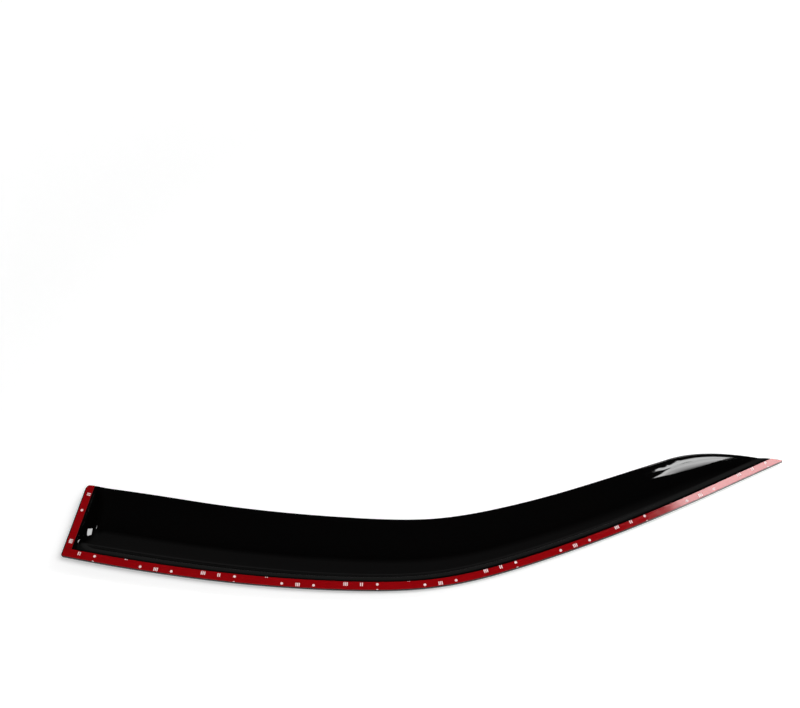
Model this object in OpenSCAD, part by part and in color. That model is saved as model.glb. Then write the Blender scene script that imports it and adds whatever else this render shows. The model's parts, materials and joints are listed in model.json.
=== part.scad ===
// Window rain deflector for the front right-hand door of a car.
// One sheet of dark smoke acrylic, drawn hot over a form: a flat flange that is bonded
// to the door frame, a step, and an arched panel that stands clear of the glass.
// Two strips of foam tape lie on the flange, each with its red release liner.
// The part lies as it rests on a table, with the bonded side up. X runs from the rear
// end to the front tip, and Y from the mounting edge to the free edge.

/* [Outline] */
// Straight distance from the rear corner of the mounting edge to the front tip
length = 870; // [700:5:1000]
// Depth of the mounting edge's bow from that straight line
bow = 100; // [60:1:125]
// Values that draw the bow at even steps along the length, as shares of its depth
bow_shape = [0.43, -0.01, -0.38, -0.69, -0.92, -1.07, -0.90, -0.66, -0.35, 0.01, 0.29];
// Width across the visor over its rear half
rear_width = 98; // [80:1:120]
// Values that draw the width at even steps along the length, as shares of it
width_shape = [0.68, 1.04, 1.00, 0.98, 0.92, 0.775, 0.705, 0.49, 0];
// Angle of the rear end against a square cut
end_rake = 22.5; // [10:0.5:30]
// Distance from the front tip at which the free edge starts to close in on it
nose_length = 120; // [80:5:160]
// How full the nose is: higher values keep the width longer and close it later
nose_fullness = 2.1; // [1.6:0.1:3]
// Width of the blunt front tip
tip_width = 2; // [1.5:0.1:4]
// Corner radius at the rear end of the mounting edge
mount_corner_r = 3; // [1:0.5:5]
// Corner radius at the rear end of the free edge
free_corner_r = 5; // [2:0.5:8]
// Length near the rear end where the cross-sections stay parallel to it
parallel_length = 30; // [20:1:60]
// Length over which the cross-sections then turn square to the mounting edge
turning_length = 120; // [80:5:200]

/* [Section] */
// Thickness of the acrylic sheet
sheet = 3; // [2:0.1:4]
// Width of the flat flange
flange_width = 11; // [11:0.5:16]
// Depth of the arched panel below the flange at the rear, on the straight taper
rear_depth = 15; // [12:0.5:22]
// Depth of the panel below the flange at the front tip
tip_depth = 3.4; // [2:0.2:6]
// How much shallower than the taper the panel is at its rear end
rear_ease = 3.5; // [0:0.5:6]
// Length over which that easing fades out
ease_length = 260; // [100:10:400]
// How far the free edge lies below the flange
edge_drop = 3; // [1:0.2:5]
// Where the arch is deepest, as a share of the width
valley_at = 0.52; // [0.4:0.01:0.65]
// How much more the arch curves on the flange side of its deepest line
flange_side_arch = 1.5; // [1:0.1:1.6]
// Slope of the step between the flange and the panel
step_slope = 30; // [24:1:45]
// Bend radius under the sheet at the top of the step
step_bend_r = 0.8; // [0.3:0.1:2]
// Bend radius inside the sheet at the foot of the step
step_foot_r = 4; // [2:0.5:10]
// Steepest slope of the step along the rear end
end_slope = 50; // [35:1:55]
// Radius of the broad scoop that carries that step down to the panel
end_foot_r = 28; // [15:1:35]

/* [Tape] */
// Width of the long strip of tape and its liner over the rear of the visor
tape_width = 10; // [8:0.1:10]
// Width of the long strip past the bend, where it is drawn round the curve and slimmed
front_tape_width = 8.4; // [7:0.1:10]
// Where the long strip starts to slim, from the rear end
slimming_start = 260; // [100:10:400]
// Length over which it slims
slimming_length = 330; // [100:10:400]
// Width of the short strip along the rear end
end_tape_width = 8.4; // [6:0.1:9]
// Thickness of the foam tape
foam_thick = 1.1; // [0.5:0.1:2]
// Thickness of the release liner
liner_thick = 0.15; // [0.1:0.05:0.3]
// Bare margin between the flange's cut edge and the tape
tape_margin = 0.5; // [0.2:0.1:1]
// Bare margin between the rear end's cut edge and the tape
end_margin = 1.6; // [0.5:0.1:2]
// Gap where the end strip butts against the long strip
butt_gap = 0.3; // [0.1:0.1:1]

/* [Fineness] */
// Spacing of the sections along the visor
section_step = 13; // [8:1:20]

/* [Hidden] */

// Colours of the pieces
acrylic_colour = [0.03, 0.03, 0.035];
foam_colour = [0.16, 0.16, 0.17];
liner_colour = [0.62, 0.05, 0.07];

// Columns of the section: across the step, and across the arched panel
step_columns = 7;
panel_columns = 8;
// Sections that round the rear corners, and that draw the step along the rear end
corner_sections = 6;
end_step_sections = 8;
// Small distance that keeps neighbouring columns apart
sliver = 0.15;

// Smooth change from 0 to 1 as k goes from 0 to 1
function ease(k) = let (c = min(1, max(0, k))) c * c * (3 - 2 * c);
function mix(a, b, k) = a + (b - a) * k;

// Uniform cubic spline drawn by a list of values, at a place u from 0 to 1
function span_of(list, u) = min(len(list) - 4, floor(u * (len(list) - 3)));
function spline(list, u) =
    let (i = span_of(list, u), t = u * (len(list) - 3) - i)
    (list[i] * pow(1 - t, 3)
     + list[i + 1] * (3 * pow(t, 3) - 6 * t * t + 4)
     + list[i + 2] * (-3 * pow(t, 3) + 3 * t * t + 3 * t + 1)
     + list[i + 3] * pow(t, 3)) / 6;
function spline_slope(list, u) =
    let (i = span_of(list, u), t = u * (len(list) - 3) - i)
    (len(list) - 3) * (-list[i] * pow(1 - t, 2)
     + list[i + 1] * (3 * t * t - 4 * t)
     + list[i + 2] * (-3 * t * t + 2 * t + 1)
     + list[i + 3] * t * t) / 2;

// The mounting edge in plan, and the direction of the section that starts at x on it.
// Angles count from +Y towards +X.
function mount_point(x) = [x, bow * spline(bow_shape, x / length)];
function square_angle(x) = -atan(bow / length * spline_slope(bow_shape, x / length));
function section_angle(x) =
    mix(end_rake, square_angle(x), ease((x - parallel_length) / turning_length));
function across(x) = [sin(section_angle(x)), cos(section_angle(x))];
function plan_point(x, t) = mount_point(x) + t * across(x);

// Width across the visor from the mounting edge to the free edge
nose_start = length - nose_length;
function nose_share(x) = max(0, (x - nose_start) / nose_length);
function width_at(x) =
    rear_width * spline(width_shape, x / length) * (1 - pow(nose_share(x), nose_fullness))
    + tip_width * nose_share(x);

// Distance of a plan point from the rear end line, measured square to it
end_inward = [cos(end_rake), -sin(end_rake)];
function from_end(p) = (p - mount_point(0)) * end_inward;
// Place x on the mounting edge at a distance d from the end line
end_pace = cos(end_rake) + tan(square_angle(0)) * sin(end_rake);
function x_at_end(d) = d / end_pace;

// Where each section starts and ends, with the rear corners rounded
function corner_cut(r, d) = d < r ? r - sqrt(r * r - pow(r - d, 2)) : 0;
function start_t(x, inset = 0) =
    inset + corner_cut(mount_corner_r - inset, x * end_pace - inset);
function end_t(x, inset = 0) =
    width_at(x) - inset - corner_cut(free_corner_r - inset, x * end_pace - inset);

// Depth of the arch below the flange, along the part
function taper_depth(x) = mix(rear_depth, tip_depth, x / length);
function valley_depth(x) =
    taper_depth(x) - rear_ease * pow(max(0, 1 - x / ease_length), 2);
// Depth at a share v of the width: a parabola through the valley and the free edge
function arch_depth(x, v) =
    let (d = valley_depth(x), k = v < valley_at ? flange_side_arch : 1)
    d - k * max(0, d - edge_drop) * pow((v - valley_at) / (1 - valley_at), 2);

// A step: a bend, a straight slope and an opposite bend that together fall by drop.
// A small drop uses only part of each bend.
top_r = sheet + step_bend_r;
function step_angle(drop, slope, foot_r) =
    min(slope, acos(max(0, 1 - drop / (top_r + foot_r))));
function step_width(drop, slope, foot_r) =
    let (a = step_angle(drop, slope, foot_r), bends = (top_r + foot_r) * (1 - cos(a)))
    (top_r + foot_r) * sin(a) + (drop - bends) / tan(a);
function step_share(drop, slope, foot_r, s) =
    let (a = step_angle(drop, slope, foot_r), r = step_width(drop, slope, foot_r) - s)
    s <= 0 ? 0
    : r <= 0 ? 1
    : s < top_r * sin(a) ? (top_r - sqrt(top_r * top_r - s * s)) / drop
    : r < foot_r * sin(a) ? 1 - (foot_r - sqrt(foot_r * foot_r - r * r)) / drop
    : (top_r * (1 - cos(a)) + (s - top_r * sin(a)) * tan(a)) / drop;

// Drop of the step beside the flange, taken one flange width further in, and drop of
// the step along the rear end
function side_drop(x) = arch_depth(x, 2 * flange_width / rear_width);
end_drop = valley_depth(0);

// Height of the bonded side over the flange plane, at a distance t across section x
function skin_height(x, t) =
    let (v = t / max(width_at(x), 2 * flange_width), p = plan_point(x, t))
    -arch_depth(x, v)
    * step_share(side_drop(x), step_slope, step_foot_r, t - flange_width)
    * step_share(end_drop, end_slope, end_foot_r, from_end(p) - flange_width);
function skin(x, t) =
    let (p = plan_point(x, t))
    [p[0], p[1], skin_height(x, t)];
// Outward normal of the bonded side, from close neighbours on it
probe = 0.05;
function skin_normal(x, t) =
    let (along = skin(min(length, x + probe), t) - skin(max(0, x - probe), t),
         over = skin(x, t + probe) - skin(x, t - probe),
         n = cross(along, over))
    n / norm(n);
// The show side lies one sheet thickness under the bonded side
function show_skin(x, t) = skin(x, t) - sheet * skin_normal(x, t);

// Sections along the visor, each named by its place x on the mounting edge
corner_end = max(mount_corner_r, free_corner_r);
end_step_end = flange_width + step_width(end_drop, end_slope, end_foot_r);
nose_step = section_step / 2;
main_start = x_at_end(end_step_end);
main_count = ceil((nose_start - main_start) / section_step);
nose_count = ceil(nose_length / nose_step);
stations = concat(
    [for (i = [0 : corner_sections])
        x_at_end(corner_end * (1 - cos(90 * i / corner_sections)))],
    [x_at_end(flange_width)],
    [for (i = [1 : end_step_sections - 1])
        x_at_end(mix(flange_width, end_step_end, i / end_step_sections))],
    [for (i = [0 : main_count - 1]) mix(main_start, nose_start, i / main_count)],
    [for (i = [0 : nose_count]) mix(nose_start, length, i / nose_count)]);

// Columns across one section: the flange, the step, and the panel to the free edge.
// Where the nose is narrow, all of them close up in step.
column_count = step_columns + panel_columns + 2;
function columns(x) =
    let (t0 = start_t(x), t1 = end_t(x),
         foot = flange_width + step_width(side_drop(x), step_slope, step_foot_r),
         squeeze = min(1, (t1 - t0) / (foot + panel_columns * sliver - t0)),
         crease = t0 + (flange_width - t0) * squeeze,
         toe = t0 + (foot - t0) * squeeze)
    concat([t0],
        [for (i = [0 : step_columns]) mix(crease, toe, i / step_columns)],
        [for (i = [1 : panel_columns]) mix(toe, t1, i / panel_columns)]);

// The part lies on its valley line, so it is pitched by the taper of that line, set down
// on z = 0, and centred over the origin
rest_pitch = atan((rear_depth - tip_depth) / length);
function pitched(p) =
    [p[0] * cos(rest_pitch) + p[2] * sin(rest_pitch),
     p[1],
     -p[0] * sin(rest_pitch) + p[2] * cos(rest_pitch)];

bonded_points = [for (x = stations, t = columns(x)) skin(x, t)];
show_points = [for (x = stations, t = columns(x)) show_skin(x, t)];
resting = [for (p = concat(bonded_points, show_points)) pitched(p)];
seat = [
    -(min([for (p = resting) p[0]]) + max([for (p = resting) p[0]])) / 2,
    -(min([for (p = resting) p[1]]) + max([for (p = resting) p[1]])) / 2,
    -min([for (p = resting) p[2]])];
module laid_down() { translate(seat) rotate([0, rest_pitch, 0]) children(); }

// Faces of a sheet whose two skins are grids of rows by cols points, one after the other
function sheet_faces(rows, cols) =
    let (top = 0, under = rows * cols, last = rows - 1)
    concat(
        [for (r = [0 : rows - 2], c = [0 : cols - 2], k = [0, 1])
            let (a = top + r * cols + c)
            k == 0 ? [a, a + 1, a + cols + 1] : [a, a + cols + 1, a + cols]],
        [for (r = [0 : rows - 2], c = [0 : cols - 2], k = [0, 1])
            let (a = under + r * cols + c)
            k == 0 ? [a, a + cols + 1, a + 1] : [a, a + cols, a + cols + 1]],
        [for (r = [0 : rows - 2], k = [0, 1])
            let (a = top + r * cols, b = under + r * cols)
            k == 0 ? [a, a + cols, b + cols] : [a, b + cols, b]],
        [for (r = [0 : rows - 2], k = [0, 1])
            let (a = top + (r + 1) * cols - 1, b = under + (r + 1) * cols - 1)
            k == 0 ? [a, b + cols, a + cols] : [a, b, b + cols]],
        [for (c = [0 : cols - 2], k = [0, 1])
            let (a = top + c, b = under + c)
            k == 0 ? [a, b + 1, a + 1] : [a, b, b + 1]],
        [for (c = [0 : cols - 2], k = [0, 1])
            let (a = top + last * cols + c, b = under + last * cols + c)
            k == 0 ? [a, a + 1, b + 1] : [a, b + 1, b]]);

// Outline of the long strip: it follows the mounting edge from the rear corner to the
// tip, where the free edge cuts it to a point
function tape_width_at(x) =
    mix(tape_width, front_tape_width, ease((x - slimming_start) / slimming_length));
strip_x = [for (x = stations) if (x > x_at_end(end_margin)) x];
edge_strip_stations =
    concat([x_at_end(end_margin)],
        [for (x = strip_x) if (end_t(x, tape_margin) > 2 * tape_margin) x]);
edge_strip_outline = concat(
    [for (x = edge_strip_stations) plan_point(x, start_t(x, tape_margin))],
    [for (i = [len(edge_strip_stations) - 1 : -1 : 0])
        let (x = edge_strip_stations[i])
        plan_point(x, min(tape_margin + tape_width_at(x), end_t(x, tape_margin)))]);

// Outline of the end strip: it butts against the long strip, follows the rear end and
// turns with the free corner
end_strip_t = tape_margin + tape_width + butt_gap;
end_strip_stations = concat(
    [for (i = [0 : corner_sections])
        x_at_end(mix(end_margin, free_corner_r, 1 - cos(90 * i / corner_sections)))],
    [x_at_end(end_margin + end_tape_width)]);
end_strip_outline = concat(
    [for (x = end_strip_stations) plan_point(x, end_strip_t)],
    [for (i = [len(end_strip_stations) - 1 : -1 : 0])
        let (x = end_strip_stations[i])
        plan_point(x, end_t(x, tape_margin))]);

// The drawn sheet, closed round its edges from the bonded side to the show side
module visor() {
    color(acrylic_colour)
        laid_down()
            polyhedron(concat(bonded_points, show_points),
                sheet_faces(len(stations), column_count), convexity = 6);
}

// A strip of one layer of the tape, standing on the flange at the given height
module tape_layer(outline, height, thick) {
    laid_down()
        translate([0, 0, height])
            linear_extrude(thick)
                polygon(outline);
}

module edge_foam() {
    color(foam_colour) tape_layer(edge_strip_outline, 0, foam_thick);
}

module edge_liner() {
    color(liner_colour) tape_layer(edge_strip_outline, foam_thick, liner_thick);
}

module end_foam() {
    color(foam_colour) tape_layer(end_strip_outline, 0, foam_thick);
}

module end_liner() {
    color(liner_colour) tape_layer(end_strip_outline, foam_thick, liner_thick);
}

visor();
edge_foam();
edge_liner();
end_foam();
end_liner();
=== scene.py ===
import json
import math

import bpy
import numpy as np
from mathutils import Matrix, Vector

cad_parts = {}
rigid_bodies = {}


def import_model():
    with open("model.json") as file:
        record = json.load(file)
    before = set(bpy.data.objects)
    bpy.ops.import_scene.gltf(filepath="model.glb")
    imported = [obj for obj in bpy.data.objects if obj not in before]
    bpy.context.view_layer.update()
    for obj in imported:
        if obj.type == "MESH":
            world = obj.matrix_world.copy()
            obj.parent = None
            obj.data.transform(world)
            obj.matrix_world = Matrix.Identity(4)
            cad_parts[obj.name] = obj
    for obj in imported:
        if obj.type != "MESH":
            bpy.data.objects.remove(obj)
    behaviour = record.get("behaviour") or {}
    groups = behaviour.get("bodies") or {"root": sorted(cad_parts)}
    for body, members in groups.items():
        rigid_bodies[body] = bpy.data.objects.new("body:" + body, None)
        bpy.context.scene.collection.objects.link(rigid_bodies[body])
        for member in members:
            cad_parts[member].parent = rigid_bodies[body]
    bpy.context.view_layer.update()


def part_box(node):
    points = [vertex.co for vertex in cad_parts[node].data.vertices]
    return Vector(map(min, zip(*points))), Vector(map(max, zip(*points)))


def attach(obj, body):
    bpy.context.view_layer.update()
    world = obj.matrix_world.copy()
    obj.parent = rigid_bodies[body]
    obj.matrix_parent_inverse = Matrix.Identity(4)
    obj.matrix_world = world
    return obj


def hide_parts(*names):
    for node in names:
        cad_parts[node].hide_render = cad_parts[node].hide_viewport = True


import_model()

# The visor: one sheet of 3 mm dark smoke acrylic, cut to its outline and drawn hot over a form.
# A flat flange runs along the mounting edge and the rear end, a step falls from it, and an
# arched panel stands clear of the glass. Sizes are in metres.
length = 0.870
bow = 0.100
bow_shape = [0.43, -0.01, -0.38, -0.69, -0.92, -1.07, -0.90, -0.66, -0.35, 0.01, 0.29]
rear_width = 0.098
width_shape = [0.68, 1.04, 1.00, 0.98, 0.92, 0.775, 0.705, 0.49, 0]
end_rake = math.radians(22.5)
nose_length = 0.120
nose_fullness = 2.1
tip_width = 0.002
mount_corner_r = 0.003
free_corner_r = 0.005
parallel_length = 0.030
turning_length = 0.120
sheet = 0.003
flange_width = 0.011
rear_depth = 0.015
tip_depth = 0.0034
rear_ease = 0.0035
ease_length = 0.260
edge_drop = 0.003
valley_at = 0.52
flange_side_arch = 1.5
step_slope = math.radians(30)
top_bend_r = sheet + 0.0008
foot_bend_r = 0.004
end_slope = math.radians(50)
end_foot_r = 0.028
cut_edge_round = 0.0005


def smooth_step(share):
    share = np.clip(share, 0, 1)
    return share * share * (3 - 2 * share)


def mix(low, high, share):
    return low + (high - low) * share


def spline(values, share):
    """Value and slope of a uniform cubic spline drawn by a list of values."""
    values = np.asarray(values, float)
    spans = len(values) - 3
    span = np.clip(np.floor(share * spans).astype(int), 0, spans - 1)
    t = share * spans - span
    a, b, c, d = (values[span + k] for k in range(4))
    value = (a * (1 - t) ** 3 + b * (3 * t**3 - 6 * t**2 + 4)
             + c * (-3 * t**3 + 3 * t**2 + 3 * t + 1) + d * t**3) / 6
    slope = spans * (-a * (1 - t) ** 2 + b * (3 * t**2 - 4 * t)
                     + c * (-3 * t**2 + 2 * t + 1) + d * t**2) / 2
    return value, slope


def mounting_edge(x):
    """Plan position of the mounting edge at x, and the unit direction across the visor."""
    rise, slope = spline(bow_shape, x / length)
    square = -np.arctan(bow / length * slope)
    turn = smooth_step((x - parallel_length) / turning_length)
    angle = mix(end_rake, square, turn)
    place = np.stack([x, bow * rise, np.zeros_like(x)], axis=1)
    across = np.stack([np.sin(angle), np.cos(angle), np.zeros_like(x)], axis=1)
    return place, across


first_slope = spline(bow_shape, np.zeros(1))[1][0] * bow / length
end_pace = math.cos(end_rake) - first_slope * math.sin(end_rake)
end_inward = (math.cos(end_rake), -math.sin(end_rake), 0.0)


def corner_cut(radius, distance):
    """How far a rounded corner pulls an edge back, at a distance from the end line."""
    inside = np.clip(radius - distance, 0, radius)
    return radius - np.sqrt(radius**2 - inside**2)


def width_limits(x, inset=0.0):
    """Where the section at x starts and ends, measured from the mounting edge."""
    nose = np.maximum(0, (x - length + nose_length) / nose_length)
    width = rear_width * spline(width_shape, x / length)[0] * (1 - nose**nose_fullness)
    width = width + tip_width * nose
    distance = x * end_pace - inset
    start = inset + corner_cut(mount_corner_r - inset, distance)
    finish = width - inset - corner_cut(free_corner_r - inset, distance)
    return width, start, finish


def valley_depth(x):
    taper = mix(rear_depth, tip_depth, x / length)
    return taper - rear_ease * np.maximum(0, 1 - x / ease_length) ** 2


def arch_depth(x, share):
    depth = valley_depth(x)
    rise = np.maximum(0, depth - edge_drop) * np.where(share < valley_at, flange_side_arch, 1)
    return depth - rise * ((share - valley_at) / (1 - valley_at)) ** 2


def step_angle(drop, slope, foot_r):
    most = np.arccos(np.maximum(0, 1 - drop / (top_bend_r + foot_r)))
    return np.minimum(slope, most)


def step_width(drop, slope, foot_r):
    angle = step_angle(drop, slope, foot_r)
    bends = (top_bend_r + foot_r) * (1 - np.cos(angle))
    return (top_bend_r + foot_r) * np.sin(angle) + (drop - bends) / np.tan(angle)


def point_set(name, places, **numbers):
    """A mesh of loose points that carries one attribute for each named array."""
    mesh = bpy.data.meshes.new(name)
    mesh.from_pydata([tuple(p) for p in places], [], [])
    for key, values in numbers.items():
        values = np.asarray(values, np.float32)
        kind, slot = ("FLOAT_VECTOR", "vector") if values.ndim == 2 else ("FLOAT", "value")
        mesh.attributes.new(key, kind, "POINT").data.foreach_set(slot, values.ravel())
    points = bpy.data.objects.new(name, mesh)
    bpy.context.scene.collection.objects.link(points)
    return points


class Field:
    """A number in a node tree. Arithmetic on it adds Math nodes to the tree."""

    def __init__(self, tree, socket):
        self.tree = tree
        self.socket = socket

    def math(self, operation, *others):
        node = self.tree.nodes.new("ShaderNodeMath")
        node.operation = operation
        for slot, value in zip(node.inputs, (self,) + others):
            plug(self.tree, slot, value)
        return Field(self.tree, node.outputs[0])

    def __add__(self, other):
        return self.math("ADD", other)

    def __sub__(self, other):
        return self.math("SUBTRACT", other)

    def __rsub__(self, other):
        return self.math("MULTIPLY", -1.0).math("ADD", other)

    def __mul__(self, other):
        return self.math("MULTIPLY", other)

    def __truediv__(self, other):
        return self.math("DIVIDE", other)

    __radd__ = __add__
    __rmul__ = __mul__

    def at_least(self, other):
        return self.math("MAXIMUM", other)

    def at_most(self, other):
        return self.math("MINIMUM", other)

    def over(self, other):
        return self.math("GREATER_THAN", other)

    def pick(self, when_one, when_zero):
        """when_one where this field is 1, and when_zero where it is 0."""
        return self * when_one + (1.0 - self) * when_zero


def plug(tree, slot, value):
    """Feeds an input with a field, a socket or a plain value."""
    if isinstance(value, Field):
        value = value.socket
    if isinstance(value, bpy.types.NodeSocket):
        tree.links.new(value, slot)
    else:
        slot.default_value = value


def vector_math(tree, operation, *values, scale=None):
    """A Vector Math node on sockets or plain vectors. A number comes back as a field."""
    node = tree.nodes.new("ShaderNodeVectorMath")
    node.operation = operation
    for slot, value in zip(node.inputs, values):
        plug(tree, slot, value)
    if scale is not None:
        plug(tree, node.inputs["Scale"], scale)
    if operation in ("DOT_PRODUCT", "LENGTH"):
        return Field(tree, node.outputs["Value"])
    return node.outputs["Vector"]


class GeometryTree:
    """A Geometry Nodes tree with named inputs, built step by step."""

    def __init__(self, name, **inputs):
        self.tree = bpy.data.node_groups.new(name, "GeometryNodeTree")
        face = self.tree.interface
        kinds = {float: "NodeSocketFloat", int: "NodeSocketInt"}
        face.new_socket("Geometry", in_out="INPUT", socket_type="NodeSocketGeometry")
        for key, value in inputs.items():
            label = key.replace("_", " ").title()
            kind = kinds.get(type(value), "NodeSocketObject")
            socket = face.new_socket(label, in_out="INPUT", socket_type=kind)
            if kind != "NodeSocketObject":
                socket.default_value = value
        face.new_socket("Geometry", in_out="OUTPUT", socket_type="NodeSocketGeometry")
        self.given = self.tree.nodes.new("NodeGroupInput")
        self.inputs = inputs

    def node(self, kind, settings=None, **sockets):
        """Adds a node. Keys of sockets are its input names, with _ for a space."""
        node = self.tree.nodes.new(kind)
        for key, value in (settings or {}).items():
            setattr(node, key, value)
        for key, value in sockets.items():
            slot = next(s for s in node.inputs if s.enabled and s.name == key.replace("_", " "))
            plug(self.tree, slot, value)
        return node

    def given_field(self, key):
        return Field(self.tree, self.given.outputs[key.replace("_", " ").title()])

    def row_and_column(self, column_count):
        """The row and the column of each point of a grid."""
        index = Field(self.tree, self.node("GeometryNodeInputIndex").outputs[0])
        rounding_room = 0.0001
        row = (index / column_count + rounding_room).math("FLOOR")
        return row, index - row * column_count

    def line_and_cap(self, row, line_count):
        """The line that a grid's row follows, and 1 in the first and last rows, which close it."""
        line = (row - 1.0).at_least(0.0).at_most(line_count - 1.0)
        return line, (row - 1.0 - line).math("ABSOLUTE").over(0.5)

    def sample(self, geometry, key, index, kind="FLOAT"):
        """The named attribute of another geometry, at an index."""
        named = self.node("GeometryNodeInputNamedAttribute", {"data_type": kind}, Name=key)
        value = next(s for s in named.outputs if s.enabled and s.name == "Attribute")
        found = self.node("GeometryNodeSampleIndex", {"data_type": kind, "clamp": True},
                          Geometry=geometry, Value=value, Index=index)
        return next(s for s in found.outputs if s.enabled)

    def number(self, geometry, key, index):
        return Field(self.tree, self.sample(geometry, key, index))

    def attribute(self, key):
        """The named attribute of the geometry at hand."""
        named = self.node("GeometryNodeInputNamedAttribute", {"data_type": "FLOAT"}, Name=key)
        return Field(self.tree, named.outputs[0])

    def vector(self, operation, *values, scale=None):
        return vector_math(self.tree, operation, *values, scale=scale)

    def along_z(self, height):
        """A vector that points up by a field."""
        return self.node("ShaderNodeCombineXYZ", Z=height).outputs[0]

    def finish(self, geometry, *materials):
        """Closes the tree. Each material comes with the field of faces that take it, or None."""
        last = self.node("GeometryNodeRealizeInstances", Geometry=geometry)
        for finish, faces in materials:
            chosen = {"Selection": faces} if faces is not None else {}
            last = self.node("GeometryNodeSetMaterial", Geometry=last.outputs[0],
                             Material=finish, **chosen)
        out = self.tree.nodes.new("NodeGroupOutput")
        self.tree.links.new(last.outputs[0], out.inputs[0])

    def run(self, points, name):
        """Runs the tree on a point set, and returns the result as a plain mesh object."""
        modifier = points.modifiers.new(name, "NODES")
        modifier.node_group = self.tree
        titles = {key.replace("_", " ").title(): value for key, value in self.inputs.items()}
        for item in self.tree.interface.items_tree:
            if item.in_out == "INPUT" and item.name in titles:
                modifier[item.identifier] = titles[item.name]
        bpy.context.view_layer.update()
        ready = points.evaluated_get(bpy.context.evaluated_depsgraph_get())
        mesh = bpy.data.meshes.new_from_object(ready)
        mesh.name = name
        points.modifiers.remove(modifier)
        piece = bpy.data.objects.new(name, mesh)
        bpy.context.scene.collection.objects.link(piece)
        return piece


def material(name, **values):
    """A Principled material, with uniform values set on its own sockets."""
    made = bpy.data.materials.new(name)
    made.use_nodes = True
    shader = made.node_tree.nodes["Principled BSDF"]
    for key, value in values.items():
        shader.inputs[key.replace("_", " ")].default_value = value
    return made, made.node_tree, shader


def noise(tree, waves, detail=2.0, stretch=(1, 1, 1)):
    """A noise on Object coordinates, with a number of waves in a metre."""
    where = tree.nodes.new("ShaderNodeTexCoord")
    spread = tree.nodes.new("ShaderNodeMapping")
    spread.inputs["Scale"].default_value = stretch
    pattern = tree.nodes.new("ShaderNodeTexNoise")
    pattern.inputs["Scale"].default_value = waves
    pattern.inputs["Detail"].default_value = detail
    tree.links.new(where.outputs["Object"], spread.inputs["Vector"])
    tree.links.new(spread.outputs["Vector"], pattern.inputs["Vector"])
    return pattern.outputs["Fac"]


def ramp(tree, value, low, high, from_low=0.35, from_high=0.65):
    """Spreads a value's range from low to high. A noise lies mostly in the range given here."""
    node = tree.nodes.new("ShaderNodeMapRange")
    for key, given in (("Value", value), ("From Min", from_low), ("From Max", from_high),
                       ("To Min", low), ("To Max", high)):
        plug(tree, node.inputs[key], given)
    return Field(tree, node.outputs["Result"])


def colour_mix(tree, value, dark, light):
    """Two colours, plain or from sockets, mixed by a value."""
    node = tree.nodes.new("ShaderNodeMix")
    node.data_type = "RGBA"
    plug(tree, node.inputs[0], value)
    for slot, colour in zip([s for s in node.inputs if s.type == "RGBA"], (dark, light)):
        plug(tree, slot, colour + (1,) if isinstance(colour, tuple) else colour)
    return next(s for s in node.outputs if s.type == "RGBA")


def dress(tree, shader, colour, roughness, *layers):
    """Feeds a shader with a colour, a roughness and stacked bumps of a pattern and a depth."""
    plug(tree, shader.inputs["Base Color"], colour)
    plug(tree, shader.inputs["Roughness"], roughness)
    below = None
    for height, depth in layers:
        node = tree.nodes.new("ShaderNodeBump")
        node.inputs["Strength"].default_value = 1.0
        node.inputs["Distance"].default_value = depth
        plug(tree, node.inputs["Height"], height)
        if below is not None:
            plug(tree, node.inputs["Normal"], below)
        below = node.outputs["Normal"]
    if below is not None:
        plug(tree, shader.inputs["Normal"], below)


acrylic_ior = 1.49
smoke = (0.0003, 0.0003, 0.0004)
lighter_smoke = (0.0010, 0.0008, 0.0007)
smoke_roughness = (0.005, 0.025)
draw_wave_depth = 0.00012
polish_depth = 0.0000006

acrylic, tree, shader = material("smoke_acrylic", IOR=acrylic_ior)
dress(tree, shader, colour_mix(tree, noise(tree, 9.0, 4.0), smoke, lighter_smoke),
      ramp(tree, noise(tree, 55.0, 6.0), *smoke_roughness),
      (noise(tree, 16.0, 1.0), draw_wave_depth), (noise(tree, 700.0, 2.0), polish_depth))

# The cut edge is polished dark. Towards the tip it is painted a lighter grey, a painted reflection of the
# bright table and lamp, from a set distance on and only on the mounting side of a slanted line beside the
# flange
polished = (0.008, 0.008, 0.009)
worn_polish = (0.02, 0.02, 0.021)
painted_sheen_grey = (0.26, 0.24, 0.24)
sawn_from, painted_sheen_fully = 0.23, 0.31
beside_flange = (-0.3017, 1.0, 0.0)
inside_line, outside_line = -0.1215, -0.1185
cut_roughness = (0.16, 0.3)
cut_groove_depth = 0.00001
cut_groove_stretch = (1, 1, 0.2)

cut_acrylic, tree, shader = material("cut_acrylic_edge", IOR=acrylic_ior)
place = tree.nodes.new("ShaderNodeTexCoord").outputs["Object"]
toward_tip = vector_math(tree, "DOT_PRODUCT", place, (1.0, 0.0, 0.0))
from_flange = vector_math(tree, "DOT_PRODUCT", place, beside_flange)
# painted reflection: a lighter grey on the edge towards the tip, beside the flange, for the bright table and
# lamp
sawn = (ramp(tree, toward_tip, 0.0, 1.0, sawn_from, painted_sheen_fully)
        * ramp(tree, from_flange, 1.0, 0.0, inside_line, outside_line))
polish = colour_mix(tree, noise(tree, 140.0, 3.0), polished, worn_polish)
dress(tree, shader, colour_mix(tree, sawn, polish, painted_sheen_grey),
      ramp(tree, noise(tree, 260.0, 3.0), *cut_roughness),
      (noise(tree, 900.0, 2.0, cut_groove_stretch), cut_groove_depth))

# Rows of points along the visor: close together round the corners, along the step of the
# rear end and over the nose, and further apart on the long plain stretch
corner_points = 14
close_rows = 0.0009
wide_rows = 0.0026
past_end_step = 0.003
nose_row_count = 80
tip_turn = np.radians([27, 48, 69, 90])
panel_room = 0.0012
widest_edge_share = 0.2

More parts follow.
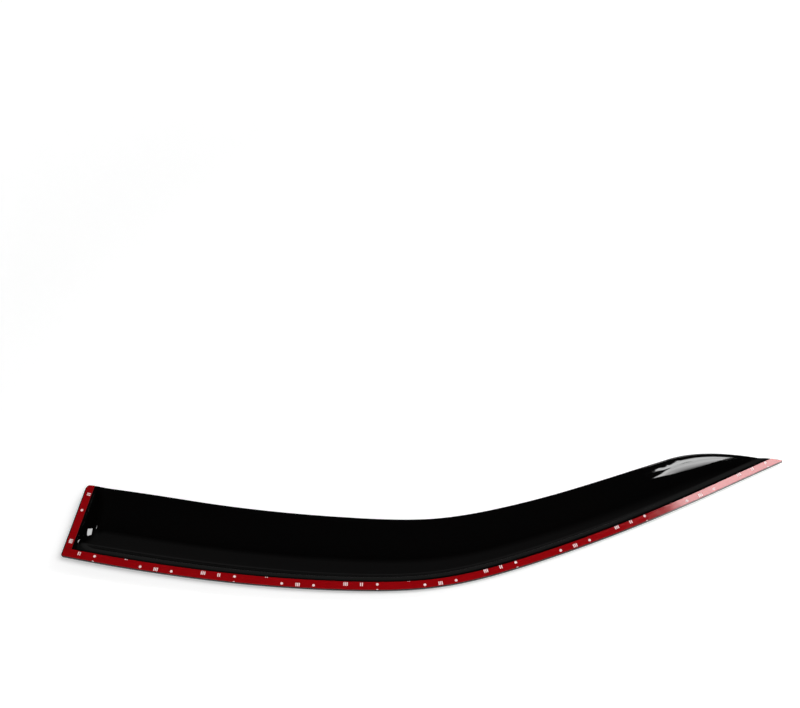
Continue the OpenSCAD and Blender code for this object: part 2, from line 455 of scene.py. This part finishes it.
end_drop = float(valley_depth(0.0))
end_step_end = flange_width + float(step_width(end_drop, end_slope, end_foot_r))
quarter = np.linspace(0, math.pi / 2, corner_points)
end_rows = np.concatenate([free_corner_r * (1 - np.cos(quarter)),
                           np.arange(free_corner_r, end_step_end + past_end_step, close_rows)])
long_rows = np.arange(end_rows[-1] / end_pace, length - nose_length, wide_rows)
nose_rows = np.linspace(length - nose_length, length - cut_edge_round, nose_row_count)
tip_rows = length - cut_edge_round * np.cos(tip_turn)
rows = np.unique(np.concatenate([end_rows / end_pace, long_rows, nose_rows, tip_rows]))
place, across = mounting_edge(rows)
width, start, finish = width_limits(rows)
side_drop = arch_depth(rows, 2 * flange_width / rear_width)
step_shape = (side_drop, step_slope, foot_bend_r)
foot = flange_width + step_width(*step_shape)
# On the narrow nose the rounded edges, the flange and the step draw together
edge = np.minimum(cut_edge_round, widest_edge_share * (finish - start))
first = start + edge
squeeze = np.minimum(1, (finish - edge - first) / (foot + panel_room - first))
from_ends = np.minimum(rows * end_pace, length - rows)
visor_rows = point_set(
    "visor_rows", place, across=across, start=start, finish=finish,
    crease=first + (flange_width - first) * squeeze, toe=first + (foot - first) * squeeze,
    share_width=np.maximum(width, 2 * flange_width), valley=valley_depth(rows),
    drop=side_drop, angle=step_angle(*step_shape), reach=step_width(*step_shape),
    edge=edge, round=corner_cut(cut_edge_round, from_ends) / cut_edge_round)

# Columns of points across it: each holds how far it has come over the first cut edge, the
# flange, the step, the panel and the second cut edge
edge_points = 4
flange_points = 6
step_points = 25
panel_points = 44

edge_turn = np.linspace(0, math.pi / 2, edge_points)
progress = {"edge_in": 1 - np.cos(edge_turn)}
for key, points in (("flange", flange_points), ("step", step_points), ("panel", panel_points)):
    progress[key] = np.linspace(0, 1, points)[1:]
progress["edge_out"] = np.sin(edge_turn)[1:]
column_total = sum(len(part) for part in progress.values())
stage = {}
done = 0
for key, part in progress.items():
    stage[key] = np.concatenate([np.zeros(done), part, np.ones(column_total - done - len(part))])
    done += len(part)
column_round = np.zeros(column_total)
column_round[:edge_points] = 1 - np.sin(edge_turn)
column_round[-edge_points:] = 1 - np.cos(edge_turn)
visor_columns = point_set("visor_columns", np.zeros((column_total, 3)), round=column_round, **stage)

# The tree raises the section over every row, then wraps the sheet round that skin: over
# the bonded side, round the free edge, back under the show side and round the other edge
visor_tree = GeometryTree(
    "visor_sheet", columns=visor_columns, row_count=len(rows), column_count=column_total,
    sheet=sheet, flange_width=flange_width, edge_drop=edge_drop, valley_place=valley_at,
    flange_side_arch=flange_side_arch, top_bend=top_bend_r, foot_bend=foot_bend_r,
    end_foot_bend=end_foot_r, end_drop=end_drop,
    end_angle=float(step_angle(end_drop, end_slope, end_foot_r)),
    end_reach=end_step_end - flange_width)
made = visor_tree
row_points = made.given.outputs["Geometry"]
column_info = made.node("GeometryNodeObjectInfo", Object=made.given.outputs["Columns"])
column_points = column_info.outputs["Geometry"]
row_count = made.given_field("row_count")
column_count = made.given_field("column_count")
flange = made.given_field("flange_width")


def step_fall(drop, angle, reach, distance, top_bend, foot_bend):
    """Share of a step's drop reached at a distance: a bend, a slope, an opposite bend."""
    sine, cosine, slope = angle.math("SINE"), angle.math("COSINE"), angle.math("TANGENT")
    near = distance.at_least(0.0)
    far = (reach - distance).at_least(0.0)
    in_top = top_bend - (top_bend * top_bend - near * near).at_least(0.0).math("SQRT")
    in_foot = foot_bend - (foot_bend * foot_bend - far * far).at_least(0.0).math("SQRT")
    on_slope = top_bend * (1.0 - cosine) + (near - top_bend * sine) * slope
    past_top = near.over(top_bend * sine)
    past_slope = (foot_bend * sine).over(far)
    fall = past_slope.pick(drop - in_foot, past_top.pick(on_slope, in_top))
    return fall / drop


row, column = made.row_and_column(column_count)
count = {key: made.number(column_points, key, column) for key in stage}
at = {key: made.number(row_points, key, row) for key in (
    "start", "finish", "crease", "toe", "share_width", "valley", "drop", "angle", "reach", "edge")}
t = (at["start"] + at["edge"] * (count["edge_in"] + count["edge_out"])
     + (at["crease"] - at["start"] - at["edge"]) * count["flange"]
     + (at["toe"] - at["crease"]) * count["step"]
     + (at["finish"] - at["edge"] - at["toe"]) * count["panel"])
top_bend = made.given_field("top_bend")
side_fall = step_fall(at["drop"], at["angle"], at["reach"], t - flange, top_bend,
                      made.given_field("foot_bend"))
row_place = made.sample(row_points, "position", row, "FLOAT_VECTOR")
row_across = made.sample(row_points, "across", row, "FLOAT_VECTOR")
plan = made.vector("ADD", row_place, made.vector("SCALE", row_across, scale=t))
inward = made.vector("DOT_PRODUCT", plan, end_inward)
end_fall = step_fall(made.given_field("end_drop"), made.given_field("end_angle"),
                     made.given_field("end_reach"), inward - flange, top_bend,
                     made.given_field("end_foot_bend"))
valley_place = made.given_field("valley_place")
off_valley = (t / at["share_width"] - valley_place) / (1.0 - valley_place)
curving = off_valley.over(0.0).pick(1.0, made.given_field("flange_side_arch"))
rise = (at["valley"] - made.given_field("edge_drop")).at_least(0.0) * curving
depth = (at["valley"] - rise * off_valley * off_valley) * side_fall * end_fall
skin_place = made.vector("SUBTRACT", plan, made.along_z(depth))
skin_grid = made.node("GeometryNodeMeshGrid", Vertices_X=row_count, Vertices_Y=column_count)
skin = made.node("GeometryNodeSetPosition", Geometry=skin_grid.outputs["Mesh"], Position=skin_place)
normal = made.node("GeometryNodeInputNormal")
kept_skin = made.node("GeometryNodeStoreNamedAttribute", {"data_type": "FLOAT_VECTOR"},
                      Geometry=skin.outputs[0], Name="facing", Value=normal.outputs[0]).outputs[0]

# The sheet's columns run over the skin and back under it. Half an index parts two columns
weld_gap = 0.000002
rim_from = 0.02
wrap_count = column_count * 2.0 + 1.0
wrap_row, wrap_column = made.row_and_column(wrap_count)
skin_row, at_cap = made.line_and_cap(wrap_row, row_count)
under = wrap_column.over(column_count - 0.5) * (column_count * 2.0 - 0.5).over(wrap_column)
back_at_start = wrap_column.over(column_count * 2.0 - 0.5)
skin_column = under.pick(column_count * 2.0 - 1.0 - wrap_column, wrap_column) * (1.0 - back_at_start)
skin_index = skin_row * column_count + skin_column
rounding = made.number(row_points, "round", skin_row).at_least(
    made.number(column_points, "round", skin_column))
half = made.given_field("sheet") * 0.5
edge_in_row = made.number(row_points, "edge", skin_row)
under_skin = half - (half - rounding * edge_in_row) * (1.0 - at_cap) * (1.0 - under * 2.0)
skin_at = made.sample(kept_skin, "position", skin_index, "FLOAT_VECTOR")
skin_facing = made.sample(kept_skin, "facing", skin_index, "FLOAT_VECTOR")
wrap_place = made.vector("SUBTRACT", skin_at, made.vector("SCALE", skin_facing, scale=under_skin))
wrap_grid = made.node("GeometryNodeMeshGrid", Vertices_X=row_count + 2.0, Vertices_Y=wrap_count)
wrapped = made.node("GeometryNodeSetPosition", Geometry=wrap_grid.outputs["Mesh"], Position=wrap_place)
rim = made.node("GeometryNodeStoreNamedAttribute", {"data_type": "FLOAT"},
                Geometry=wrapped.outputs[0], Name="rim", Value=rounding.at_least(at_cap))
closed = made.node("GeometryNodeMergeByDistance", Geometry=rim.outputs[0], Distance=weld_gap)
smooth = made.node("GeometryNodeSetShadeSmooth", Geometry=closed.outputs[0])
made.finish(smooth.outputs[0], (acrylic, None), (cut_acrylic, made.attribute("rim").over(rim_from)))

rest_pitch = math.atan((rear_depth - tip_depth) / length)


def lay_down(piece, seat):
    """Turns a piece from the flange's own plane to the pose in which the part rests."""
    co = np.zeros(len(piece.data.vertices) * 3)
    piece.data.vertices.foreach_get("co", co)
    x, y, z = co.reshape(-1, 3).T
    turned = np.stack([x * math.cos(rest_pitch) + z * math.sin(rest_pitch), y,
                       -x * math.sin(rest_pitch) + z * math.cos(rest_pitch)], axis=1)
    if seat is None:
        seat = np.array(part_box("visor")[0]) - turned.min(axis=0)
    piece.data.vertices.foreach_set("co", (turned + seat).ravel())
    piece.data.update()
    return seat


visor = visor_tree.run(visor_rows, "visor_sheet")
seat = lay_down(visor, None)
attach(visor, "root")
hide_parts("visor")
for points in (visor_rows, visor_columns):
    bpy.data.objects.remove(points)

# The foam tape: acrylic foam 1.1 mm thick, soft and closed-celled, bonded to the flange. A long
# strip follows the mounting edge, slimmer past the bend and cut to a point at the tip, and a
# short one butts against it and follows the rear end. Their cut sides bulge a little.
tape_width = 0.010
front_tape_width = 0.0084
slimming_start = 0.260
slimming_length = 0.330
end_tape_width = 0.0084
end_margin = 0.0016
tape_margin = 0.0005
pointed_width = 0.00125
butt_gap = 0.0003
foam_thick = 0.0011
side_bulge = 0.00012
ripple_depth = 0.00007
ripple_waves = 17.0
least_dip = 0.00003
side_points = 5
long_top_points = 7
end_top_points = 45
corner_rows = 12
end_rows_past_corner = 7

tape_rows = np.concatenate([[end_margin / end_pace], rows[rows * end_pace > end_margin]])
tape_rows = tape_rows[width_limits(tape_rows, tape_margin)[2] > pointed_width]
slimming = smooth_step((tape_rows - slimming_start) / slimming_length)
tape_inner = tape_margin + mix(tape_width, front_tape_width, slimming)
end_strip_start = tape_margin + tape_width + butt_gap


def strip_ends(x, near, far):
    """Two lists of plan positions, at distances near and far across the sections x."""
    at_edge, over = mounting_edge(x)
    return at_edge + near[:, None] * over, at_edge + far[:, None] * over


def strip_profile(name, top_count):
    """Points round a strip's section: each has its share across, height and bulge."""
    turn = np.linspace(0, 1, side_points)
    top = np.linspace(0, 1, top_count)
    side = np.sin(turn * math.pi)
    share = np.concatenate([0 * turn, top[1:], 0 * turn[1:] + 1, top[::-1][1:]])
    height = np.concatenate([turn, 0 * top[1:] + 1, turn[::-1][1:], 0 * top[1:]])
    out = np.concatenate([-side, 0 * top[1:], side[1:], 0 * top[1:]])
    return point_set(name, np.zeros((len(share), 3)), share=share, height=height, bulge=out)


def tape_dip(made, plan, ripple, waves):
    """How far the tape's top lies below its full thickness at a place."""
    pattern = made.node("ShaderNodeTexNoise", Vector=plan, Scale=waves, Detail=1.0)
    return ripple * Field(made.tree, pattern.outputs["Fac"]) + least_dip


def strip_tree(name, profile, row_total, finish, **sizes):
    """One layer of a strip, lofted along two lists of points, with its ends closed."""
    made = GeometryTree(name, profile=profile, row_count=row_total,
                        column_count=len(profile.data.vertices), **sizes)
    lines = made.given.outputs["Geometry"]
    info = made.node("GeometryNodeObjectInfo", Object=made.given.outputs["Profile"])
    columns = info.outputs["Geometry"]
    row_count = made.given_field("row_count")
    column_count = made.given_field("column_count")
    grid_row, column = made.row_and_column(column_count)
    row, at_end = made.line_and_cap(grid_row, row_count)
    share = made.number(columns, "share", column)
    height = at_end.pick(0.5, made.number(columns, "height", column))
    out = made.number(columns, "bulge", column) * (1.0 - at_end) * made.given_field("side_bulge")
    near = made.sample(lines, "position", row, "FLOAT_VECTOR")
    far = made.sample(lines, "far", row, "FLOAT_VECTOR")
    over = made.vector("SUBTRACT", far, near)
    plan = made.vector("ADD", near, made.vector("SCALE", over, scale=share))
    side = made.vector("SCALE", made.vector("NORMALIZE", over), scale=out)
    dip = tape_dip(made, plan, made.given_field("ripple_depth"), made.given_field("ripple_waves"))
    follow = made.given_field("base_follows")
    lift = (made.given_field("base") + height * made.given_field("thick")
            - dip * (follow + (1.0 - follow) * height))
    grid = made.node("GeometryNodeMeshGrid", Vertices_X=row_count + 2.0, Vertices_Y=column_count)
    shaped = made.node("GeometryNodeSetPosition", Geometry=grid.outputs["Mesh"],
                       Position=made.vector("ADD", made.vector("ADD", plan, side), made.along_z(lift)))
    closed = made.node("GeometryNodeMergeByDistance", Geometry=shaped.outputs[0],
                       Distance=weld_gap * 0.5)
    made.finish(closed.outputs[0], (finish, None))
    return made


foam_dark = (0.014, 0.014, 0.015)
foam_light = (0.035, 0.034, 0.034)
foam_roughness = (0.75, 0.95)
cell_depth = 0.00006

foam, tree, shader = material("foam_tape", IOR=1.45, Specular_IOR_Level=0.25)
dress(tree, shader, colour_mix(tree, noise(tree, 420.0, 5.0), foam_dark, foam_light),
      ramp(tree, noise(tree, 1800.0, 3.0), *foam_roughness), (noise(tree, 2600.0, 3.0), cell_depth))

long_lines = strip_ends(tape_rows, width_limits(tape_rows, tape_margin)[1],
                        np.minimum(tape_inner, width_limits(tape_rows, tape_margin)[2]))
corner_turn = np.linspace(0, math.pi / 2, corner_rows)
past_corner = np.linspace(free_corner_r, end_margin + end_tape_width, end_rows_past_corner + 1)[1:]
end_x = np.concatenate([mix(end_margin, free_corner_r, 1 - np.cos(corner_turn)), past_corner]) / end_pace
end_lines = strip_ends(end_x, np.full(len(end_x), end_strip_start),
                       width_limits(end_x, tape_margin)[2])
long_profile = strip_profile("long_profile", long_top_points)
end_profile = strip_profile("end_profile", end_top_points)
strips = (("edge", long_lines, long_profile), ("end", end_lines, end_profile))


def lay_layer(layer, slot, finish, **sizes):
    """Makes one layer of both strips and lays each in its place on the flange."""
    for strip, (near, far), profile in strips:
        lines = point_set("strip_lines", near, far=far)
        made = strip_tree(f"{strip}_{layer}_strip", profile, len(near), finish,
                          ripple_depth=ripple_depth, ripple_waves=ripple_waves, **sizes)
        piece = made.run(lines, f"{strip}_{layer}_strip")
        lay_down(piece, seat)
        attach(piece, "root")
        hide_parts(f"{strip}_{layer}")
        bpy.data.objects.remove(lines)


lay_layer("foam", "foam", foam, base=0.0, thick=foam_thick, side_bulge=side_bulge, base_follows=0.0)

# The release liner: red polyester film 0.15 mm thick, glossy and a little rippled, that covers
# the glue of the foam until the visor is fitted. It is as wide as the foam, and cut with it.
liner_thick = 0.00015
film_red = (0.215, 0.0004, 0.0016)
lighter_red = (0.275, 0.0010, 0.0034)
film_roughness = (0.06, 0.11)
film_wave_depth = 0.00004
film_grain_depth = 0.0000015

liner, tree, shader = material("red_liner", IOR=1.62)
dress(tree, shader, colour_mix(tree, noise(tree, 60.0, 4.0), film_red, lighter_red),
      ramp(tree, noise(tree, 90.0, 4.0), *film_roughness),
      (noise(tree, 45.0, 2.0), film_wave_depth), (noise(tree, 900.0, 2.0), film_grain_depth))

lay_layer("liner", "liner", liner, base=foam_thick, thick=liner_thick, side_bulge=0.0, base_follows=1.0)

# The print on the liner: white ink marks in a pattern that repeats along the film, pairs and
# threes of short bars, and dots. The film is slit after printing, which cuts some of them.
mark_pitch = 0.0186
mark_period = 9
pattern_start = 0.0006 - 5 * mark_pitch
bar_length = 0.0043
bar_width = 0.0012
bar_gap = 0.0021
three_gap = 0.9 * bar_gap
dot_size = 0.0032
ink_thick = 0.00003
ink_sunk = 0.00001
bar_points = 6
dot_sides = 18
path_step = 0.001
slit_step = 0.004
bare_start = 0.004
bare_finish = 0.006
# Marks of one period: slot in the period, distance from the tape's outer side, and kind
inner_line = 0.0067
outer_line = 0.0034
period_marks = [(0, 0.0112, "two"), (1, outer_line, "dot"), (2, outer_line - 0.0002, "three"),
                (3, outer_line, "dot"),
                (5, inner_line, "three"), (6, inner_line - 0.0002, "two"),
                (7, inner_line, "dot"), (7, -0.0008, "dot")]
# Marks of the end strip: distance from the mounting edge and from the rear side, and kind
end_marks = [(0.0203, 0.0036, "dot"), (0.0203, 0.0046, "three"), (0.0616, 0.0040, "dot"),
             (0.0834, 0.0052, "two")]

ink_shade = (0.70, 0.52, 0.53)
ink_white = (0.86, 0.72, 0.72)
ink_roughness = (0.35, 0.5)

ink, tree, shader = material("white_ink", IOR=1.5)
dress(tree, shader, colour_mix(tree, noise(tree, 500.0, 3.0), ink_shade, ink_white),
      ramp(tree, noise(tree, 700.0, 2.0), *ink_roughness))


def bars_and_dots(marks):
    """Splits marks at (along, over, kind) into lists of bar centres and dot centres."""
    bars, dots = [], []
    for along, over, kind in marks:
        if kind == "dot":
            dots.append((along, over, 0))
        elif kind == "two":
            bars += [(along + k * bar_gap, over, 0) for k in (-0.5, 0.5)]
        else:
            bars += [(along + k * three_gap, over, 0) for k in (-1, 0, 1)]
    return bars, dots


def even_path(near, far):
    """Resamples two lines to even steps along the first."""
    run = np.concatenate([[0], np.cumsum(np.linalg.norm(np.diff(near, axis=0), axis=1))])
    steps = np.arange(0, run[-1], path_step)
    return [np.stack([np.interp(steps, run, line[:, k]) for k in range(3)], axis=1)
            for line in (near, far)]


def print_tree(name, path, film_length, finish):
    """Places bars and dots on a flat film, slits it, and wraps it along the tape."""
    made = GeometryTree(name, path=path, bar_length=bar_length, bar_width=bar_width,
                        dot_size=dot_size, ink_thick=ink_thick, ink_sunk=ink_sunk,
                        path_step=path_step, slit_step=slit_step, film_length=film_length,
                        film_top=foam_thick + liner_thick, ripple_depth=ripple_depth,
                        ripple_waves=ripple_waves)
    places = made.given.outputs["Geometry"]
    info = made.node("GeometryNodeObjectInfo", Object=made.given.outputs["Path"])
    line = info.outputs["Geometry"]
    thick = made.given_field("ink_thick") + made.given_field("ink_sunk")
    bar_size = made.node("ShaderNodeCombineXYZ", X=made.given_field("bar_width"),
                         Y=made.given_field("bar_length"), Z=thick)
    bar = made.node("GeometryNodeMeshCube", Size=bar_size.outputs[0], Vertices_X=2,
                    Vertices_Y=bar_points, Vertices_Z=2)
    dot = made.node("GeometryNodeMeshCylinder", Vertices=dot_sides, Depth=thick,
                    Radius=made.given_field("dot_size") * 0.5)
    is_dot = made.attribute("is_dot").over(0.5)
    dots = made.node("GeometryNodeInstanceOnPoints", Points=places, Instance=dot.outputs["Mesh"],
                     Selection=is_dot)
    bars = made.node("GeometryNodeInstanceOnPoints", Points=places, Instance=bar.outputs["Mesh"],
                     Selection=1.0 - is_dot)
    joined = made.node("GeometryNodeJoinGeometry")
    made.tree.links.new(dots.outputs[0], joined.inputs[0])
    made.tree.links.new(bars.outputs[0], joined.inputs[0])
    printed = made.node("GeometryNodeRealizeInstances", Geometry=joined.outputs[0])
    place = made.node("GeometryNodeInputPosition")
    parts = made.node("ShaderNodeSeparateXYZ", Vector=place.outputs[0])
    along, over, up = (Field(made.tree, socket) for socket in parts.outputs)
    steps = along / made.given_field("path_step")
    step = steps.math("FLOOR").at_least(0.0)
    part = steps - step

    def on_path(key):
        here = made.sample(line, key, step, "FLOAT_VECTOR")
        there = made.sample(line, key, step + 1.0, "FLOAT_VECTOR")
        move = made.vector("SCALE", made.vector("SUBTRACT", there, here), scale=part)
        return made.vector("ADD", here, move)

    near, far = on_path("position"), on_path("far")
    across_film = made.vector("SUBTRACT", far, near)
    span = made.vector("LENGTH", across_film)

    # A block deeper than the ink, and as wide as the film, keeps the marks from reaching past
    # the slit sides. It has one point more than it has steps, as its number is rounded down
    film_length = made.given_field("film_length")
    block_size = made.node("ShaderNodeCombineXYZ", X=film_length, Y=1.0, Z=thick * 4.0)
    block = made.node("GeometryNodeMeshCube", Size=block_size.outputs[0], Vertices_Y=2, Vertices_Z=2,
                      Vertices_X=film_length / made.given_field("slit_step") + 1.5)
    from_start = made.node("ShaderNodeCombineXYZ", X=film_length * 0.5, Y=0.5)
    moved = made.node("GeometryNodeSetPosition", Geometry=block.outputs["Mesh"],
                      Offset=from_start.outputs[0])
    slit_place = made.node("ShaderNodeCombineXYZ", X=along, Y=over * span, Z=up)
    slit = made.node("GeometryNodeSetPosition", Geometry=moved.outputs[0],
                     Position=slit_place.outputs[0])
    cut = made.node("GeometryNodeMeshBoolean", {"operation": "INTERSECT"})
    both_meshes = next(slot for slot in cut.inputs if slot.enabled and slot.is_multi_input)
    for part_mesh in (printed, slit):
        made.tree.links.new(part_mesh.outputs[0], both_meshes)

    share = over / span
    plan = made.vector("ADD", near, made.vector("SCALE", across_film, scale=share))
    dip = tape_dip(made, plan, made.given_field("ripple_depth"), made.given_field("ripple_waves"))
    lift = (made.given_field("film_top") - dip + up
            + (made.given_field("ink_thick") - made.given_field("ink_sunk")) * 0.5)
    wrapped = made.node("GeometryNodeSetPosition", Geometry=cut.outputs["Mesh"],
                        Position=made.vector("ADD", plan, made.along_z(lift)))
    made.finish(wrapped.outputs[0], (finish, None))
    return made


period_count = int(length / mark_pitch / mark_period) + 1
long_marks = [(pattern_start + (period * mark_period + slot) * mark_pitch, over, kind)
              for period in range(period_count) for slot, over, kind in period_marks]
for strip, (near, far), marks in (("edge", long_lines, long_marks), ("end", end_lines, end_marks)):
    if strip == "end":
        # This film's lines run beside the rear end, its inner side first so that it lies face up
        outer, inner = near[[0, -1]]
        along_end = far[0] - outer
        near, far = np.array([inner, inner + along_end]), np.array([outer, outer + along_end])
        film_width = np.linalg.norm(inner - outer)
        marks = [(along - end_strip_start, film_width - over, kind) for along, over, kind in marks]
    even_near, even_far = even_path(near, far)
    path = point_set("film_path", even_near, far=even_far)
    film_length = (len(even_near) - 1) * path_step
    bars, dots = bars_and_dots([m for m in marks if bare_start < m[0] < film_length - bare_finish])
    places = point_set("mark_places", bars + dots, is_dot=[0.0] * len(bars) + [1.0] * len(dots))
    piece = print_tree(f"{strip}_print", path, film_length, ink).run(places, f"{strip}_liner_print")
    lay_down(piece, seat)
    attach(piece, "root")
    for points in (path, places):
        bpy.data.objects.remove(points)

for points in (long_profile, end_profile):
    bpy.data.objects.remove(points)

# The table and the light: a white table top under a broad lamp, in a dim room. The acrylic
# mirrors the dark room and two glowing cards: one makes the light patch on the panel by the
# front tip, and the other the glint in the corner at the rear end.

# The camera's place and lens, and the directions in which the room is laid out
view_azimuth = math.radians(-8.57)
view_elevation = math.radians(60.0)
view_distance = 2.33
view_target = Vector((-0.0001, 0.2284, 0.0))
view_lens = 83.54

toward_camera = Vector((math.sin(view_azimuth) * math.cos(view_elevation),
                        -math.cos(view_azimuth) * math.cos(view_elevation),
                        math.sin(view_elevation)))
picture_right = Vector((math.cos(view_azimuth), math.sin(view_azimuth), 0.0))
picture_away = Vector((-math.sin(view_azimuth), math.cos(view_azimuth), 0.0))


def in_room(right, away, up):
    """A place given to the right of the picture's middle, away from the camera, and up."""
    return view_target + picture_right * right + picture_away * away + Vector((0, 0, up))


def rays_that_show(tree):
    """1 for camera rays, for rays in gloss and through glass, and for all of them."""
    path = tree.nodes.new("ShaderNodeLightPath")
    seen, glossy, through = (Field(tree, path.outputs[key]) for key in (
        "Is Camera Ray", "Is Glossy Ray", "Is Transmission Ray"))
    mirrored = glossy.at_least(through)
    return seen, mirrored, seen.at_least(mirrored)


def unlit_material(name):
    """A material whose surface is still to be given."""
    made = bpy.data.materials.new(name)
    made.use_nodes = True
    made.node_tree.nodes.remove(made.node_tree.nodes["Principled BSDF"])
    return made, made.node_tree


def stage_mesh(name, corners, finish):
    """A flat face of the room, which is no part of the object."""
    mesh = bpy.data.meshes.new(name)
    mesh.from_pydata(corners, [], [range(len(corners))])
    mesh.materials.append(finish)
    made = bpy.data.objects.new(name, mesh)
    bpy.context.scene.collection.objects.link(made)


# The table glows more the further it is from the object, so that it stays white there
table_reach = 6.0
table_white = (0.85, 0.85, 0.85, 1)
glow_near, glow_far = 0.33, 1.0
near_distance, far_distance = 0.6, 2.4

white_table, tree = unlit_material("white_table")
matt = tree.nodes.new("ShaderNodeBsdfDiffuse")
matt.inputs["Color"].default_value = table_white
place = tree.nodes.new("ShaderNodeTexCoord").outputs["Object"]
glow = tree.nodes.new("ShaderNodeEmission")
glow.inputs["Color"].default_value = (1, 1, 1, 1)
glow_level = ramp(tree, vector_math(tree, "LENGTH", place), glow_near, glow_far, near_distance, far_distance)
plug(tree, glow.inputs["Strength"], glow_level * rays_that_show(tree)[2])
both = tree.nodes.new("ShaderNodeAddShader")
tree.links.new(matt.outputs[0], both.inputs[0])
tree.links.new(glow.outputs[0], both.inputs[1])
tree.links.new(both.outputs[0], tree.nodes["Material Output"].inputs["Surface"])
stage_mesh("table_top", [(x * table_reach, y * table_reach, 0)
                         for x, y in ((-1, -1), (1, -1), (1, 1), (-1, 1))], white_table)

# The room lights the object at room_level. Gloss shows it in the greys below, by the sine of
# the height above the horizon, and nearly black on its right-hand side
room_level = 0.25
room_greys = [(0.0, 0.14), (0.16, 0.17), (0.45, 0.17), (0.53, 0.085), (0.80, 0.085), (0.875, 0.015),
              (1.0, 0.025)]
dark_side_level = 0.03
dark_side_from, dark_side_fully = 0.28, 0.60

world = bpy.data.worlds.new("studio")
bpy.context.scene.world = world
world.use_nodes = True
tree = world.node_tree
direction = tree.nodes.new("ShaderNodeTexCoord").outputs["Generated"]
split = tree.nodes.new("ShaderNodeSeparateXYZ")
tree.links.new(direction, split.inputs[0])
greys = tree.nodes.new("ShaderNodeValToRGB")
tree.links.new(split.outputs["Z"], greys.inputs["Fac"])
stops = greys.color_ramp.elements
while len(stops) < len(room_greys):
    stops.new(0.5)
for stop, (height, grey) in zip(stops, room_greys):
    stop.position = height
    stop.color = (grey, grey, grey, 1)
sideways = vector_math(tree, "DOT_PRODUCT", direction, picture_right)
dark_side = ramp(tree, sideways, 1.0, dark_side_level, dark_side_from, dark_side_fully)
mirrored_room = (Field(tree, greys.outputs["Color"]) * dark_side).socket
camera_ray, gloss_ray, _ = rays_that_show(tree)
lit = colour_mix(tree, gloss_ray, (room_level,) * 3, mirrored_room)
shown = colour_mix(tree, camera_ray, lit, (1, 1, 1))
tree.links.new(shown, tree.nodes["Background"].inputs["Color"])


def softbox(name, place, aim, size, radiance):
    """An area lamp of a given radiance that faces a place."""
    lamp = bpy.data.lights.new(name, "AREA")
    lamp.shape = "RECTANGLE"
    lamp.size, lamp.size_y = size
    lamp.energy = radiance * math.pi * size[0] * size[1]
    made = bpy.data.objects.new(name, lamp)
    bpy.context.scene.collection.objects.link(made)
    made.location = place
    made.rotation_euler = (place - aim).to_track_quat("Z", "Y").to_euler()
    return made


def glowing_card(name, corners, radiance, fade=None):
    """A flat panel given by its corners in the room. Its cloth glows a little unevenly, and
    fades to a quarter between the two distances of fade, away from the camera."""
    cloth, tree = unlit_material(name)
    light = tree.nodes.new("ShaderNodeEmission")
    strength = ramp(tree, noise(tree, 35.0, 3.0), 0.82 * radiance, 1.12 * radiance)
    if fade is not None:
        place = tree.nodes.new("ShaderNodeTexCoord").outputs["Object"]
        away = vector_math(tree, "DOT_PRODUCT", place, picture_away) - view_target.dot(picture_away)
        strength = strength * ramp(tree, away, 1.0, 0.25, *fade)
    plug(tree, light.inputs["Strength"], strength)
    tree.links.new(light.outputs[0], tree.nodes["Material Output"].inputs["Surface"])
    stage_mesh(name, [in_room(*corner) for corner in corners], cloth)


# A small card hangs high over the right-hand end, with a notch in its left-hand side, and
# a slim one leans further beyond that end. Their corners are places in the room
notched_card_height = 2.0
notched_card_plan = [
    (0.751, 0.410), (0.765, 0.383), (0.773, 0.383), (0.7765, 0.421), (0.784, 0.421),
    (0.789, 0.411), (0.794, 0.403), (0.791, 0.425), (0.793, 0.473), (0.792, 0.530),
    (0.788, 0.577), (0.776, 0.612), (0.761, 0.630), (0.738, 0.634), (0.725, 0.616),
    (0.715, 0.580), (0.704, 0.513), (0.727, 0.503), (0.751, 0.482), (0.770, 0.487),
    (0.768, 0.472), (0.758, 0.460)]
notched_card_radiance = 12.0
notched_card_fade = (0.53, 0.625)
slim_card_corners = [(2.511, 0.506, 1.481), (1.787, 0.688, 2.202), (1.439, 1.214, 2.303),
                     (1.816, 1.048, 1.967)]
slim_card_radiance = 14.0

glowing_card("notched_card", [(right, away, notched_card_height) for right, away in notched_card_plan],
             notched_card_radiance, notched_card_fade)
glowing_card("slim_card", slim_card_corners, slim_card_radiance)

# A broad lamp overhead, a little to the right and nearer the camera, lights the table
overhead_place = in_room(0.40, -0.78, 2.1)
overhead_size = (1.2, 1.0)
overhead_radiance = 8.5

overhead = softbox("overhead_lamp", overhead_place, Vector((0, 0, 0)), overhead_size, overhead_radiance)
overhead.visible_glossy = False

# The film of the liner alone also shows a soft lamp that hangs beyond the right-hand end
film_lamp_plan = (1.0, 0.85)
film_lamp_height = 2.0
film_lamp_size = (0.60, 0.50)
film_lamp_radiance = 10.4

film_lamp = softbox("film_lamp", in_room(*film_lamp_plan, film_lamp_height), in_room(*film_lamp_plan, 0),
                    film_lamp_size, film_lamp_radiance)
film_lamp.data.color = (1.0, 0.73, 0.73)
lit_film = bpy.data.collections.new("lit_film")
for piece in bpy.context.scene.objects:
    if "liner" in piece.name:
        lit_film.objects.link(piece)
film_lamp.light_linking.receiver_collection = lit_film

camera_data = bpy.data.cameras.new("camera")
camera_data.lens = view_lens
camera = bpy.data.objects.new("camera", camera_data)
bpy.context.scene.collection.objects.link(camera)
camera.location = view_target + toward_camera * view_distance
camera.rotation_euler = toward_camera.to_track_quat("Z", "Y").to_euler()
bpy.context.scene.camera = camera
bpy.context.scene.view_settings.view_transform = "Standard"
